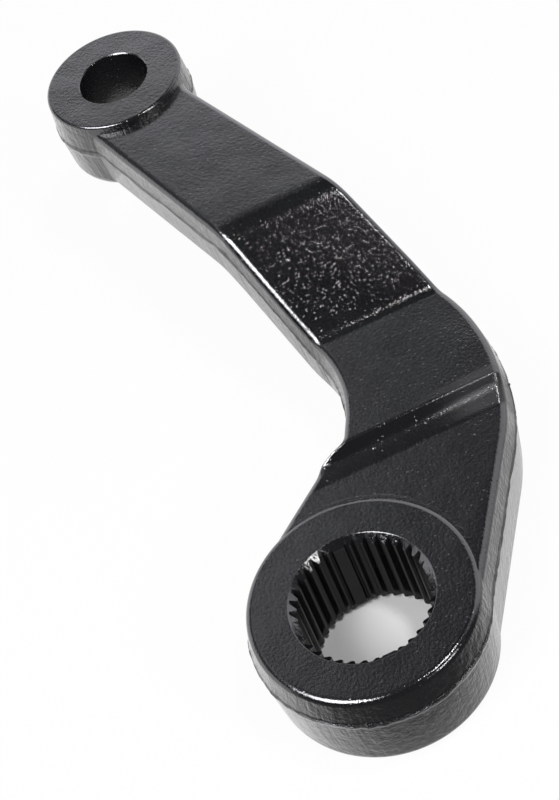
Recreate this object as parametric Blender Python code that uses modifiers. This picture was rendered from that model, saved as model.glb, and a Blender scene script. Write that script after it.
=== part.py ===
"""A pitman arm, forged in one piece and painted.

The big eye sits on the splined output shaft of a steering box. The small eye takes the tapered
stud of the drag link. Between them the arm bends sideways in plan and steps up in side view,
so that the small eye clears the axle.

Frame: metres, +Z up. The origin is the centre of the splined bore, in the big eye's top face.
+X points at the small eye, and Z is the axis of the bore.
"""

import math

import bmesh
import bpy
from mathutils import Vector

# Eyes: the radii are taken at the parting line, where the two halves of the die meet
EYE_SPACING = 0.1614
BIG_EYE_RADIUS = 0.0270
BIG_EYE_HEIGHT = 0.0260
SMALL_EYE_RADIUS = 0.0190
SMALL_EYE_HEIGHT = 0.0222
SMALL_EYE_RISE = 0.0241

# Splined bore: 36 places for teeth, of which four hold a wide tooth that times the arm
SPLINE_PLACES = 36
WIDE_TEETH = 4
SPLINE_ROOT_RADIUS = 0.015875
TOOTH_DEPTH = 0.0014
TOOTH_LAND = 0.00055
WIDE_TOOTH_LAND = 0.0026
TOOTH_FLANK_ANGLE = math.radians(26)
NARROW_GROOVE_FLOOR = 0.17
SPLINE_TAPER = 0.0125
MOUTH_CHAMFER = 0.0003

# Tapered bore: the taper is the loss of radius for each unit of depth, 1 in 8 on the diameter
STUD_BORE_RADIUS = 0.0091
STUD_BORE_TAPER = 1 / 16
STUD_BORE_CHAMFER = 0.00025

# Arm in plan: the corners that its two edges turn about, and how far each turn is rounded
LEFT_NEAR_CORNER = (0.0372, -0.0037)
LEFT_NEAR_ROUND = 0.0060
LEFT_HOLLOW_CORNER = (0.0391, -0.0104)
LEFT_HOLLOW_ROUND = 0.0030
LEFT_FAR_CORNER = (0.0560, -0.0184)
LEFT_FAR_ROUND = 0.0340
RIGHT_CORNER = (0.0432, -0.0580)
RIGHT_CORNER_ROUND = 0.0500
LEFT_EDGE_AT_SMALL_EYE = 0.0166
RIGHT_EDGE_AT_SMALL_EYE = -0.0115
SMALL_EYE_BLEND = 0.0080

# Arm in side view: each bend of the top face, its height above the arm at the big eye. The foot
# of the step runs askew, from the level of the hollow corner to that of the right corner.
ARM_BELOW_BIG_EYE = 0.0004
ARM_BELOW_SMALL_EYE = 0.0022
STEP_START_LEFT = 0.0352
STEP_START_RIGHT = 0.0310
STEP_END = 0.0371
STEP_RISE = 0.0034
SLOPE_START = 0.0672
SLOPE_END = 0.0947
ARM_THICKNESS = 0.0192
UNDERSIDE_STEP_START = 0.0330
UNDERSIDE_STEP_END = 0.0470
STEP_FOOT_ROUND = 0.0025
STEP_TOP_ROUND = 0.0010
SLOPE_FOOT_ROUND = 0.0050
SLOPE_TOP_ROUND = 0.0120
UNDERSIDE_ROUND = 0.0080

# Die: draft of the walls, depth of the parting line, the trimmed flash on it, rounded edges.
# The upper walls keep the big eye's draft up to the bend in plan, and have the arm's own beyond.
BIG_EYE_UPPER_DRAFT = math.radians(12)
UPPER_DRAFT = math.radians(5)
DRAFT_CHANGE_START = 0.0520
DRAFT_CHANGE_END = 0.0750
LOWER_DRAFT = math.radians(4)
PARTING_DEPTH = 0.0069
FLASH_HEIGHT = 0.0008
FLASH_PROUD = 0.0002
TOP_EDGE_ROUND = 0.0018
SMALL_EYE_EDGE_ROUND = 0.0008
BOTTOM_EDGE_ROUND = 0.0040

# Resolution of the solids
TURNED_STEPS = 72
EDGE_ROUND_STEPS = 4
BEND_STEPS = 4
CORNER_STEPS = 12
FAR_SIDE_STEPS = 24

# Clearances: how far an edge of the arm dips inside an eye's wall, how far cutters overrun
BLEND_SINK = 0.0005
CUTTER_OVERRUN = 0.0010
WELD_DISTANCE = 0.000002


def clear_scene():
    """Remove every object of the scene that the file opened with."""
    for thing in list(bpy.data.objects):
        bpy.data.objects.remove(thing, do_unlink=True)


def new_collection(name):
    """Return a new collection in the scene."""
    collection = bpy.data.collections.new(name)
    bpy.context.scene.collection.children.link(collection)
    return collection


def painted_steel():
    """Return the arm's black paint."""
    material = bpy.data.materials.new("black_painted_forging")
    material.use_nodes = True
    shader = material.node_tree.nodes["Principled BSDF"]
    shader.inputs["Base Color"].default_value = (0.012, 0.012, 0.013, 1.0)
    shader.inputs["Roughness"].default_value = 0.35
    shader.inputs["Metallic"].default_value = 0.0
    return material


def arc(centre, first, last, steps):
    """Return the points of the short arc about a centre between two arms of equal length."""
    turn = first.angle_signed(last)
    points = []
    for step in range(steps + 1):
        angle = -turn * step / steps
        cosine, sine = math.cos(angle), math.sin(angle)
        points.append((centre.x + first.x * cosine - first.y * sine,
                       centre.y + first.x * sine + first.y * cosine))
    return points


def rounded_corner(before, corner, after, radius, steps):
    """Return the points of an arc of this radius, tangent to both legs of a 2D corner."""
    corner = Vector(corner)
    leg_in = (Vector(before) - corner).normalized()
    leg_out = (Vector(after) - corner).normalized()
    half_angle = leg_in.angle(leg_out) / 2
    tangent_length = radius / math.tan(half_angle)
    centre = corner + (leg_in + leg_out).normalized() * (radius / math.sin(half_angle))
    first = corner + leg_in * tangent_length - centre
    last = corner + leg_out * tangent_length - centre
    return arc(centre, first, last, steps)


def blend_into_small_eye(corner, end, side):
    """Return the hollow arc that leads an edge of the arm into the wall of the small eye.

    The edge runs from its corner towards its end inside the eye. side is 1 on the left, -1 on
    the right.
    """
    eye = Vector((EYE_SPACING, 0))
    along = (Vector(end) - Vector(corner)).normalized()
    outward = Vector((-along.y, along.x)) * side
    reach = SMALL_EYE_RADIUS - BLEND_SINK + SMALL_EYE_BLEND
    base = Vector(corner) + outward * SMALL_EYE_BLEND
    across = (eye - base).dot(outward)
    centre = base + along * ((eye - base).dot(along) - math.sqrt(reach ** 2 - across ** 2))
    to_eye = (eye - centre).normalized()
    return arc(centre, -outward * SMALL_EYE_BLEND, to_eye * SMALL_EYE_BLEND, BEND_STEPS)


def far_side(centre_x, start, end):
    """Return the points between start and end, anticlockwise round the far side of an eye."""
    radius = math.hypot(start[0] - centre_x, start[1])
    first = math.atan2(start[1], start[0] - centre_x)
    turn = (math.atan2(end[1], end[0] - centre_x) - first) % (2 * math.pi)
    angles = [first + turn * step / FAR_SIDE_STEPS for step in range(1, FAR_SIDE_STEPS)]
    return [(centre_x + radius * math.cos(angle), radius * math.sin(angle)) for angle in angles]


def tangent_point(corner, radius, side):
    """Return where a line from this corner touches a circle about the origin, on one side."""
    towards = math.atan2(corner[1], corner[0])
    spread = math.acos(radius / math.hypot(*corner))
    angle = towards + side * spread
    return (radius * math.cos(angle), radius * math.sin(angle))


def arm_outline():
    """Return the arm's outline in plan at the parting line, anticlockwise.

    Both edges leave the big eye on a tangent. The right one turns about one rounded corner and
    the left one about three, of which the second is hollow. Both blend into the small eye. At
    the far side of each eye the outline follows it, just inside its wall.
    """
    blend_radius = BIG_EYE_RADIUS - BLEND_SINK
    right_start = tangent_point(RIGHT_CORNER, blend_radius, -1)
    left_start = tangent_point(LEFT_NEAR_CORNER, blend_radius, 1)
    right_end = (EYE_SPACING, RIGHT_EDGE_AT_SMALL_EYE)
    left_end = (EYE_SPACING, LEFT_EDGE_AT_SMALL_EYE)
    outline = [right_start]
    outline += rounded_corner(right_start, RIGHT_CORNER, right_end, RIGHT_CORNER_ROUND, CORNER_STEPS)
    right_blend = blend_into_small_eye(RIGHT_CORNER, right_end, -1)
    left_blend = blend_into_small_eye(LEFT_FAR_CORNER, left_end, 1)[::-1]
    outline += right_blend + far_side(EYE_SPACING, right_blend[-1], left_blend[0]) + left_blend
    outline += rounded_corner(left_end, LEFT_FAR_CORNER, LEFT_HOLLOW_CORNER, LEFT_FAR_ROUND,
                              CORNER_STEPS)
    outline += rounded_corner(LEFT_FAR_CORNER, LEFT_HOLLOW_CORNER, LEFT_NEAR_CORNER,
                              LEFT_HOLLOW_ROUND, BEND_STEPS)
    outline += rounded_corner(LEFT_HOLLOW_CORNER, LEFT_NEAR_CORNER, left_start, LEFT_NEAR_ROUND,
                              BEND_STEPS)
    return outline + [left_start] + far_side(0, left_start, right_start)


def inset_outline(outline, insets):
    """Return an anticlockwise outline moved inwards at each point by that point's inset."""
    moved = []
    for index, (point, inset) in enumerate(zip(outline, insets)):
        here = Vector(point)
        edge_in = (here - Vector(outline[index - 1])).normalized()
        edge_out = (Vector(outline[(index + 1) % len(outline)]) - here).normalized()
        inward = Vector((-edge_in.y - edge_out.y, edge_in.x + edge_out.x)).normalized()
        reach = inset / inward.dot(Vector((-edge_in.y, edge_in.x)))
        moved.append(here + inward * reach)
    return moved


def edge_round(draft, radius, wall_inset):
    """Return (inset, distance from the face) along a rounded edge, from the wall to the face.

    wall_inset gives the wall's inset at a distance from the face.
    """
    start_distance = radius * (1 - math.sin(draft))
    centre_inset = wall_inset(start_distance) + radius * math.cos(draft)
    points = []
    for step in range(EDGE_ROUND_STEPS + 1):
        angle = draft + (math.pi / 2 - draft) * step / EDGE_ROUND_STEPS
        points.append((centre_inset - radius * math.cos(angle), radius * (1 - math.sin(angle))))
    return points


def upper_wall(parting_depth, draft, radius):
    """Return (inset, depth below the top face) from the top face down to the flash."""
    wall_end = parting_depth - FLASH_HEIGHT / 2

    def wall_inset(depth):
        return FLASH_PROUD + (wall_end - depth) * math.tan(draft)

    levels = edge_round(draft, radius, wall_inset)[::-1]
    levels += [(FLASH_PROUD, wall_end), (0.0, wall_end + FLASH_HEIGHT / 4)]
    return levels


def lower_wall(wall_height, radius):
    """Return (inset, height above the underside) from the flash down to the underside."""

    def wall_inset(height):
        return FLASH_PROUD + (wall_height - height) * math.tan(LOWER_DRAFT)

    levels = [(0.0, wall_height + FLASH_HEIGHT / 4), (FLASH_PROUD, wall_height)]
    levels += edge_round(LOWER_DRAFT, radius, wall_inset)
    return levels


def top_line(step_start):
    """Return the (x, z) line of the arm's top face in side view."""
    low = -ARM_BELOW_BIG_EYE
    middle = low + STEP_RISE
    high = SMALL_EYE_RISE - ARM_BELOW_SMALL_EYE
    return rounded_line(
        (-BIG_EYE_RADIUS, low),
        [((step_start, low), STEP_FOOT_ROUND),
         ((STEP_END, middle), STEP_TOP_ROUND),
         ((SLOPE_START, middle), SLOPE_FOOT_ROUND),
         ((SLOPE_END, high), SLOPE_TOP_ROUND)],
        (EYE_SPACING + SMALL_EYE_RADIUS, high))


def underside_line():
    """Return the (x, z) line of the arm's underside in side view.

    Past its own step it follows the top face at the arm's thickness.
    """
    under_eye = -BIG_EYE_HEIGHT + ARM_BELOW_BIG_EYE
    middle = -ARM_BELOW_BIG_EYE + STEP_RISE - ARM_THICKNESS
    high = SMALL_EYE_RISE - ARM_BELOW_SMALL_EYE - ARM_THICKNESS
    bend = math.atan2(high - middle, SLOPE_END - SLOPE_START)
    bend_shift = ARM_THICKNESS * math.tan(bend / 2)
    return rounded_line(
        (-BIG_EYE_RADIUS, under_eye),
        [((UNDERSIDE_STEP_START, under_eye), UNDERSIDE_ROUND),
         ((UNDERSIDE_STEP_END, middle), UNDERSIDE_ROUND),
         ((SLOPE_START + bend_shift, middle), UNDERSIDE_ROUND),
         ((SLOPE_END + bend_shift, high), UNDERSIDE_ROUND)],
        (EYE_SPACING + SMALL_EYE_RADIUS, high))


def rounded_line(start, corners, end):
    """Return an open line from start to end whose corners are rounded by their own radii."""
    stops = [start] + [corner for corner, radius in corners] + [end]
    points = [start]
    for index, (corner, radius) in enumerate(corners):
        points += rounded_corner(stops[index], corner, stops[index + 2], radius, BEND_STEPS)
    points.append(end)
    return points


def height_at(line, x):
    """Return a side line's height at x."""
    for (x_before, z_before), (x_after, z_after) in zip(line, line[1:]):
        if x <= x_after:
            return z_before + (z_after - z_before) * (x - x_before) / (x_after - x_before)
    return line[-1][1]


def share_between(value, start, end):
    """Return how far a value has come from start to end, between 0 and 1."""
    return min(1.0, max(0.0, (value - start) / (end - start)))


def wall_levels(x):
    """Return (inset, height) down the arm's wall at x, as if the arm were a flat slab.

    The slab's top face is at height 0 and its underside one thickness below. The lower wall's
    inset follows the wall's true height there.
    """
    near = upper_wall(PARTING_DEPTH, BIG_EYE_UPPER_DRAFT, TOP_EDGE_ROUND)
    far = upper_wall(PARTING_DEPTH, UPPER_DRAFT, TOP_EDGE_ROUND)
    share = share_between(x, DRAFT_CHANGE_START, DRAFT_CHANGE_END)
    levels = []
    for (near_inset, near_depth), (far_inset, far_depth) in zip(near, far):
        inset = near_inset + (far_inset - near_inset) * share
        depth = near_depth + (far_depth - near_depth) * share
        levels.append((inset, -depth))

    thickness = height_at(top_line(STEP_START_LEFT), x) - height_at(underside_line(), x)
    lower = lower_wall(thickness - PARTING_DEPTH - FLASH_HEIGHT / 2, BOTTOM_EDGE_ROUND)
    levels.append((lower[0][0], -PARTING_DEPTH - FLASH_HEIGHT / 4))
    levels.append((lower[1][0], -PARTING_DEPTH - FLASH_HEIGHT / 2))
    for inset, height in lower[2:]:
        levels.append((inset, height - ARM_THICKNESS))
    return levels


def bend_slab(mesh):
    """Bend the slab: its top face and parting line follow the top line, its foot the underside."""
    left_top, right_top = top_line(STEP_START_LEFT), top_line(STEP_START_RIGHT)
    underside = underside_line()
    wall_start = -PARTING_DEPTH - FLASH_HEIGHT / 2
    wall_end = BOTTOM_EDGE_ROUND * (1 - math.sin(LOWER_DRAFT)) - ARM_THICKNESS
    for vertex in mesh.verts:
        x, y, height = vertex.co
        side = share_between(y, RIGHT_CORNER[1], LEFT_HOLLOW_CORNER[1])
        top_z = height_at(right_top, x) * (1 - side) + height_at(left_top, x) * side
        foot_z = height_at(underside, x) + ARM_THICKNESS
        share = share_between(height, wall_start, wall_end)
        vertex.co.z = height + top_z * (1 - share) + foot_z * share


def build_arm_body(collection):
    """Model the arm between the eyes.

    A flat slab is stacked from insets of the outline. It is cut across at every point of the
    side view, and then bent to it.
    """
    outline = arm_outline()
    levels_at_points = [wall_levels(x) for x, y in outline]
    mesh = bmesh.new()
    rings = []
    for levels in zip(*levels_at_points):
        points = inset_outline(outline, [inset for inset, height in levels])
        ring = [mesh.verts.new((point.x, point.y, height))
                for point, (inset, height) in zip(points, levels)]
        rings.append(ring)
    mesh.faces.new(rings[0])
    for above, below in zip(rings, rings[1:]):
        for index, corner in enumerate(above):
            mesh.faces.new((below[index - 1], below[index], corner, above[index - 1]))
    mesh.faces.new(rings[-1][::-1])

    bends = top_line(STEP_START_LEFT)[1:-1] + top_line(STEP_START_RIGHT)[1:-1] + underside_line()[1:-1]
    for x in sorted({x for x, z in bends}):
        everything = mesh.verts[:] + mesh.edges[:] + mesh.faces[:]
        bmesh.ops.bisect_plane(mesh, geom=everything, dist=1e-6, plane_co=(x, 0, 0), plane_no=(1, 0, 0))
    bend_slab(mesh)
    return mesh_object("pitman_arm", mesh, collection)


def mesh_object(name, mesh, collection):
    """Turn a bmesh into an object in a collection."""
    data = bpy.data.meshes.new(name)
    mesh.to_mesh(data)
    mesh.free()
    thing = bpy.data.objects.new(name, data)
    collection.objects.link(thing)
    return thing


def turned(name, profile, centre_x, collection):
    """Turn a profile of (radius, z) points, listed from the top down, about a vertical axis."""
    mesh = bmesh.new()
    points = [mesh.verts.new((radius, 0, z)) for radius, z in profile]
    for above, below in zip(points, points[1:]):
        mesh.edges.new((above, below))
    thing = mesh_object(name, mesh, collection)
    thing.location.x = centre_x
    screw = thing.modifiers.new("turn", "SCREW")
    screw.steps = TURNED_STEPS
    screw.render_steps = TURNED_STEPS
    screw.use_merge_vertices = True
    screw.merge_threshold = 0.00001
    return thing


def eye_profile(radius, top_z, height, arm_below, draft, top_round):
    """Return the profile of an eye before it is bored: a drafted drum with rounded rims."""
    parting_depth = PARTING_DEPTH + arm_below
    lower_height = height - parting_depth - FLASH_HEIGHT / 2
    profile = [(0, top_z)]
    bottom_z = top_z - height
    for inset, depth in upper_wall(parting_depth, draft, top_round):
        profile.append((radius - inset, top_z - depth))
    for inset, rise in lower_wall(lower_height, BOTTOM_EDGE_ROUND):
        profile.append((radius - inset, bottom_z + rise))
    profile.append((0, bottom_z))
    return profile


def spline_outline():
    """Return the outline of the splined bore at its top end, as a list of 2D points.

    A tooth stands at each place, its land facing the axis. A groove between two teeth has
    straight flanks, and is cut shallower where a wide tooth crowds it, to keep a flat floor.
    """
    tip_radius = SPLINE_ROOT_RADIUS - TOOTH_DEPTH
    pitch = 2 * math.pi / SPLINE_PLACES
    flank_turn = TOOTH_DEPTH * math.tan(TOOTH_FLANK_ANGLE) / SPLINE_ROOT_RADIUS
    points = []
    for place in range(SPLINE_PLACES):
        edge = place * pitch + half_land(place) / tip_radius
        next_edge = (place + 1) * pitch - half_land(place + 1) / tip_radius
        room_for_flanks = (next_edge - edge) * (1 - NARROW_GROOVE_FLOOR)
        reach = min(1.0, room_for_flanks / (2 * flank_turn))
        root_radius = tip_radius + TOOTH_DEPTH * reach
        for radius, angle in ((tip_radius, edge), (root_radius, edge + flank_turn * reach),
                              (root_radius, next_edge - flank_turn * reach), (tip_radius, next_edge)):
            points.append((radius * math.cos(angle), radius * math.sin(angle)))
    return points


def half_land(place):
    """Return half the width of the land of the tooth at this place."""
    is_wide = place % (SPLINE_PLACES // WIDE_TEETH) == 0
    return (WIDE_TOOTH_LAND if is_wide else TOOTH_LAND) / 2


def build_spline_cutter(collection):
    """Model the tool that broaches the splined bore, a little wider at the underside."""
    top_z = CUTTER_OVERRUN
    bottom_z = -BIG_EYE_HEIGHT - CUTTER_OVERRUN
    growth = 1 + SPLINE_TAPER * (top_z - bottom_z) / SPLINE_ROOT_RADIUS
    mesh = bmesh.new()
    outline = [mesh.verts.new((x, y, top_z)) for x, y in spline_outline()]
    face = mesh.faces.new(outline)
    made = bmesh.ops.extrude_face_region(mesh, geom=[face])
    for vertex in made["geom"]:
        if isinstance(vertex, bmesh.types.BMVert):
            vertex.co = (vertex.co.x * growth, vertex.co.y * growth, bottom_z)
    bmesh.ops.recalc_face_normals(mesh, faces=mesh.faces[:])
    return mesh_object("spline_broach", mesh, collection)


def build_mouth_cutter(collection):
    """Model the tool that chamfers both mouths of the splined bore at 45 degrees."""
    inner_radius = SPLINE_ROOT_RADIUS - TOOTH_DEPTH - CUTTER_OVERRUN
    top_mouth = SPLINE_ROOT_RADIUS + MOUTH_CHAMFER
    bottom_mouth = top_mouth + SPLINE_TAPER * BIG_EYE_HEIGHT
    profile = [(0, CUTTER_OVERRUN),
               (top_mouth + CUTTER_OVERRUN, CUTTER_OVERRUN),
               (inner_radius, inner_radius - top_mouth),
               (inner_radius, bottom_mouth - inner_radius - BIG_EYE_HEIGHT),
               (bottom_mouth + CUTTER_OVERRUN, -BIG_EYE_HEIGHT - CUTTER_OVERRUN),
               (0, -BIG_EYE_HEIGHT - CUTTER_OVERRUN)]
    return turned("mouth_chamfer", profile, 0, collection)


def build_stud_cutter(collection):
    """Model the reamer of the tapered bore, with the chamfer at its wide upper mouth.

    It runs out below the eye and the arm, whichever of them reaches lower.
    """
    mouth = STUD_BORE_RADIUS + STUD_BORE_CHAMFER
    top_z = SMALL_EYE_RISE
    lowest_depth = max(SMALL_EYE_HEIGHT, ARM_BELOW_SMALL_EYE + ARM_THICKNESS)
    end_z = top_z - lowest_depth - CUTTER_OVERRUN
    end_radius = STUD_BORE_RADIUS - STUD_BORE_TAPER * (top_z - end_z)
    profile = [(0, top_z + CUTTER_OVERRUN),
               (mouth + CUTTER_OVERRUN, top_z + CUTTER_OVERRUN),
               (STUD_BORE_RADIUS, top_z - STUD_BORE_CHAMFER),
               (end_radius, end_z),
               (0, end_z)]
    return turned("taper_reamer", profile, EYE_SPACING, collection)


def combine(thing, tool, operation):
    """Join a tool to an object, or cut it out."""
    boolean = thing.modifiers.new(tool.name, "BOOLEAN")
    boolean.operation = operation
    boolean.object = tool
    weld = thing.modifiers.new("weld_after_" + tool.name, "WELD")
    weld.merge_threshold = WELD_DISTANCE
    tool.hide_render = True
    tool.display_type = "WIRE"


def finish_surface(thing, material):
    """Settle the modifiers into the mesh, paint it and shade its round faces smooth."""
    graph = bpy.context.evaluated_depsgraph_get()
    data = bpy.data.meshes.new_from_object(thing.evaluated_get(graph))
    thing.modifiers.clear()
    thing.data = data
    data.materials.clear()
    data.materials.append(material)
    data.shade_smooth()
    data.set_sharp_from_angle(angle=math.radians(30))


def main():
    """Build the arm."""
    clear_scene()
    parts = new_collection("pitman_arm")
    tools = new_collection("forging_and_cutting_tools")

    arm = build_arm_body(parts)
    big_drum = eye_profile(BIG_EYE_RADIUS, 0, BIG_EYE_HEIGHT, ARM_BELOW_BIG_EYE,
                           BIG_EYE_UPPER_DRAFT, TOP_EDGE_ROUND)
    small_drum = eye_profile(SMALL_EYE_RADIUS, SMALL_EYE_RISE, SMALL_EYE_HEIGHT,
                             ARM_BELOW_SMALL_EYE, UPPER_DRAFT, SMALL_EYE_EDGE_ROUND)
    combine(arm, turned("big_eye", big_drum, 0, tools), "UNION")
    combine(arm, turned("small_eye", small_drum, EYE_SPACING, tools), "UNION")
    combine(arm, build_spline_cutter(tools), "DIFFERENCE")
    combine(arm, build_mouth_cutter(tools), "DIFFERENCE")
    combine(arm, build_stud_cutter(tools), "DIFFERENCE")
    bpy.context.view_layer.update()
    finish_surface(arm, painted_steel())


main()
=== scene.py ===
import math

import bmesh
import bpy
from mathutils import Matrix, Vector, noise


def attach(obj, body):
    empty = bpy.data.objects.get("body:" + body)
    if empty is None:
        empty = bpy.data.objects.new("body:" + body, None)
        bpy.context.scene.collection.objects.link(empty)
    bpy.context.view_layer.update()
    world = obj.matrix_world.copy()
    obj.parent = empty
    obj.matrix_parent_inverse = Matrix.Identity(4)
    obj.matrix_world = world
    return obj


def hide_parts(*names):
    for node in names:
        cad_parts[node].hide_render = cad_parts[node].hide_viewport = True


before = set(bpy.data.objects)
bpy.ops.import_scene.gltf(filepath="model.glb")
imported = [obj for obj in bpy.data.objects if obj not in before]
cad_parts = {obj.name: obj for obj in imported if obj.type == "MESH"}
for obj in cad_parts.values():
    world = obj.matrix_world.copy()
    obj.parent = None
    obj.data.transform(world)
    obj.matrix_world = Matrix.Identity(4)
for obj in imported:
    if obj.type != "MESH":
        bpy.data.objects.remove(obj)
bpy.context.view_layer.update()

# %% [markdown]
# The real object is a pitman arm: one piece of steel, forged hot between two dies, trimmed,
# bored, splined, and painted black. The frame holds it as one plain solid.
# The looks need a smoother copy of that solid, its paint, a floor, lights and a camera.
# Lengths are in millimetres and are turned to metres where a mesh is made, because every
# size of the paint and the edges is easier to read that way.

MM = 0.001
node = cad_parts["pitman_arm"]

# %% [markdown]
# The camera stands above the big eye and looks along the arm, rolled so that the arm runs
# from the top left to the bottom of the picture. It could be aimed with a constraint, but a
# matrix built from three directions also fixes the roll, and stays where it was measured.

# %% Camera
CAMERA_PLACE = Vector((-220.17, 6.58, 323.80)) * MM
LOOK = Vector((0.65279, -0.02176, -0.75723))
RIGHT = Vector((-0.33333, -0.90587, -0.26133))
DOWN = Vector((-0.68026, 0.42300, -0.59860))
SENSOR_WIDTH = 36.0
PICTURE_HEIGHT = 800
FOCAL_PIXELS = 1850


def make_camera():
    """Create the camera at the photograph's place and make it the scene's own."""
    lens = bpy.data.cameras.new("photo_camera")
    lens.sensor_width = SENSOR_WIDTH
    lens.lens = FOCAL_PIXELS * SENSOR_WIDTH / PICTURE_HEIGHT
    lens.clip_start = 0.01
    lens.clip_end = 20
    camera = bpy.data.objects.new("photo_camera", lens)
    turn = Matrix((RIGHT, -DOWN, -LOOK)).transposed().to_4x4()
    camera.matrix_world = Matrix.Translation(CAMERA_PLACE) @ turn
    bpy.context.scene.collection.objects.link(camera)
    bpy.context.scene.camera = camera
    return camera


camera = make_camera()
print("lens of", round(camera.data.lens, 2), "mm")

# %% [markdown]
# The forging is made again with finer steps: two turned eyes and a slab between them, whose
# walls slope away from the parting line as the dies left them. A subdivided copy of the CAD
# mesh would keep its facets, so the same profiles are drawn here with more points.

# %% Sizes of the forging
EYE_SPACING = 161.4
BIG_EYE_RADIUS, BIG_EYE_HEIGHT = 27.0, 26.0
SMALL_EYE_RADIUS, SMALL_EYE_HEIGHT, SMALL_EYE_RISE = 19.0, 22.2, 24.1
ARM_THICKNESS = 19.2
ARM_BELOW_BIG_EYE, ARM_BELOW_SMALL_EYE = 0.4, 2.2
PARTING_DEPTH = 6.9
FLASH_HEIGHT, FLASH_PROUD = 0.8, 0.2
BIG_EYE_DRAFT, UPPER_DRAFT, LOWER_DRAFT = math.radians(12), math.radians(5), math.radians(4)
DRAFT_CHANGE_START, DRAFT_CHANGE_END = 52.0, 75.0
TOP_ROUND, SMALL_EYE_ROUND, BOTTOM_ROUND = 1.8, 0.8, 4.0

ROUND_STEPS = 10
CORNER_STEPS = 40
BEND_STEPS = 10
FAR_SIDE_STEPS = 60
TURNED_STEPS = 288
print("sizes of the forging set, the bores", EYE_SPACING, "mm apart")

# %% [markdown]
# Every bend of the arm, in plan and in side view, is a straight line run into an arc. A curve
# with handles would be quicker to draw, but wouldn't hold a radius.

# %% Arcs and rounded corners


def arc(centre, first, last, steps):
    """Return the points of the short arc about a centre between two arms of equal length."""
    turn = -first.angle_signed(last)
    return [centre + Matrix.Rotation(turn * step / steps, 2) @ first for step in range(steps + 1)]


def rounded_corner(before, corner, after, radius, steps):
    """Return the points of an arc of this radius, tangent to both legs of a 2D corner."""
    corner = Vector(corner)
    leg_in = (Vector(before) - corner).normalized()
    leg_out = (Vector(after) - corner).normalized()
    half = leg_in.angle(leg_out) / 2
    centre = corner + (leg_in + leg_out).normalized() * (radius / math.sin(half))
    first = corner + leg_in * (radius / math.tan(half)) - centre
    last = corner + leg_out * (radius / math.tan(half)) - centre
    return arc(centre, first, last, steps)


def rounded_line(start, corners, end):
    """Return an open line whose corners are rounded, each by its own radius."""
    stops = [start] + [corner for corner, radius in corners] + [end]
    points = [Vector(start)]
    for index, (corner, radius) in enumerate(corners):
        points += rounded_corner(stops[index], corner, stops[index + 2], radius, BEND_STEPS)
    return points + [Vector(end)]


print("a square corner gets", len(rounded_corner((1, 0), (0, 0), (0, 1), 1, BEND_STEPS)), "points")

# %% [markdown]
# A forging's walls lean away from the parting line so that the dies come off, and every edge of
# a die is rounded so that the steel fills it. The same wall goes round the eyes and the arm.

# %% Walls


def edge_round(draft, radius, wall_inset):
    """Return (inset, distance from the face) along a rounded edge, from the wall to the face."""
    inset = wall_inset(radius * (1 - math.sin(draft))) + radius * math.cos(draft)
    angles = [draft + (math.pi / 2 - draft) * step / ROUND_STEPS for step in range(ROUND_STEPS + 1)]
    return [(inset - radius * math.cos(a), radius * (1 - math.sin(a))) for a in angles]


def upper_wall(depth_of_parting, draft, radius):
    """Return (inset, depth) from the top face down to the flash."""
    end = depth_of_parting - FLASH_HEIGHT / 2
    rounded = edge_round(draft, radius, lambda depth: FLASH_PROUD + (end - depth) * math.tan(draft))
    return rounded[::-1] + [(FLASH_PROUD, end), (0.0, end + FLASH_HEIGHT / 4)]


def lower_wall(wall_height, radius):
    """Return (inset, height above the underside) from the flash down to the underside."""
    slope = math.tan(LOWER_DRAFT)
    rounded = edge_round(LOWER_DRAFT, radius,
                         lambda height: FLASH_PROUD + (wall_height - height) * slope)
    return [(0.0, wall_height + FLASH_HEIGHT / 4), (FLASH_PROUD, wall_height)] + rounded


print("wall of the big eye in", len(upper_wall(PARTING_DEPTH, BIG_EYE_DRAFT, TOP_ROUND)), "steps")

# %% [markdown]
# In plan the arm leaves the big eye along tangents, turns once on its right side and twice on
# its left, and runs into the small eye in hollow arcs. The outline goes on round the far side of
# both eyes, just inside their walls, so that no sharp corner lies where its insets could cross.

# %% Arm in plan
LEFT_NEAR_CORNER, LEFT_NEAR_ROUND = (37.2, -3.7), 6.0
LEFT_HOLLOW_CORNER, LEFT_HOLLOW_ROUND = (39.1, -10.4), 3.0
LEFT_FAR_CORNER, LEFT_FAR_ROUND = (56.0, -18.4), 34.0
RIGHT_CORNER, RIGHT_CORNER_ROUND = (43.2, -58.0), 50.0
LEFT_END, RIGHT_END = (EYE_SPACING, 16.6), (EYE_SPACING, -11.5)
SMALL_EYE_BLEND = 8.0
BLEND_SINK = 0.5


def tangent_point(corner, radius, side):
    """Return where a line from this corner touches a circle about the origin."""
    angle = math.atan2(corner[1], corner[0]) + side * math.acos(radius / math.hypot(*corner))
    return (radius * math.cos(angle), radius * math.sin(angle))


def blend_into_small_eye(corner, end, side):
    """Return the hollow arc that leads an edge of the arm into the wall of the small eye."""
    eye = Vector((EYE_SPACING, 0))
    along = (Vector(end) - Vector(corner)).normalized()
    outward = Vector((-along.y, along.x)) * side
    reach = SMALL_EYE_RADIUS - BLEND_SINK + SMALL_EYE_BLEND
    base = Vector(corner) + outward * SMALL_EYE_BLEND
    across = (eye - base).dot(outward)
    centre = base + along * ((eye - base).dot(along) - math.sqrt(reach ** 2 - across ** 2))
    to_eye = (eye - centre).normalized()
    return arc(centre, -outward * SMALL_EYE_BLEND, to_eye * SMALL_EYE_BLEND, BEND_STEPS)


print("the right edge leaves the big eye at",
      [round(v, 1) for v in tangent_point(RIGHT_CORNER, BIG_EYE_RADIUS - BLEND_SINK, -1)])

# %% Arm in plan: whole outline


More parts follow.
